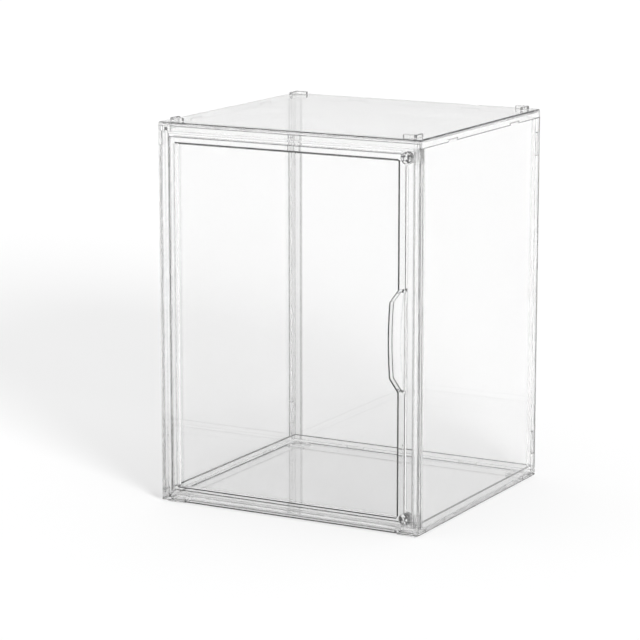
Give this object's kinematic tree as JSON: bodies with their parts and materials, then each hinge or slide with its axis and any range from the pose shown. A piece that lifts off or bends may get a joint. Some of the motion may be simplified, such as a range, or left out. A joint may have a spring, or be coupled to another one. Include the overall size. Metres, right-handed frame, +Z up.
{
  "type": "figure display case",
  "caption": "Clear stackable display case with snap-together panels and a magnet-held door that hinges at the left.",
  "frame": {"origin": "on the surface the case stands on, under the middle of its footprint", "axes": "+X to the right as the door is faced, +Y from the door to the back panel, +Z up"},
  "size_m": [0.263, 0.2476, 0.3532],
  "materials": {
    "clear_plastic": "clear moulded polystyrene, polished",
    "door_plastic": "clear moulded polystyrene, polished",
    "magnet_plating": "bright nickel plate"
  },
  "bodies": {
    "case": {"base_panel": "clear_plastic", "roof_panel": "clear_plastic", "left_panel": "clear_plastic", "right_panel": "clear_plastic", "back_panel": "clear_plastic", "catch_magnet_upper": "magnet_plating", "catch_magnet_lower": "magnet_plating"},
    "door": {"door": "door_plastic", "door_magnet_upper": "magnet_plating", "door_magnet_lower": "magnet_plating"}
  },
  "joints": [
    {"name": "door_hinge", "type": "hinge", "parent": "case", "child": "door", "pos_m": [-0.1235, -0.12115, 0.175], "axis": [0, 0, -1], "range_deg": [0, 105]}
  ]
}
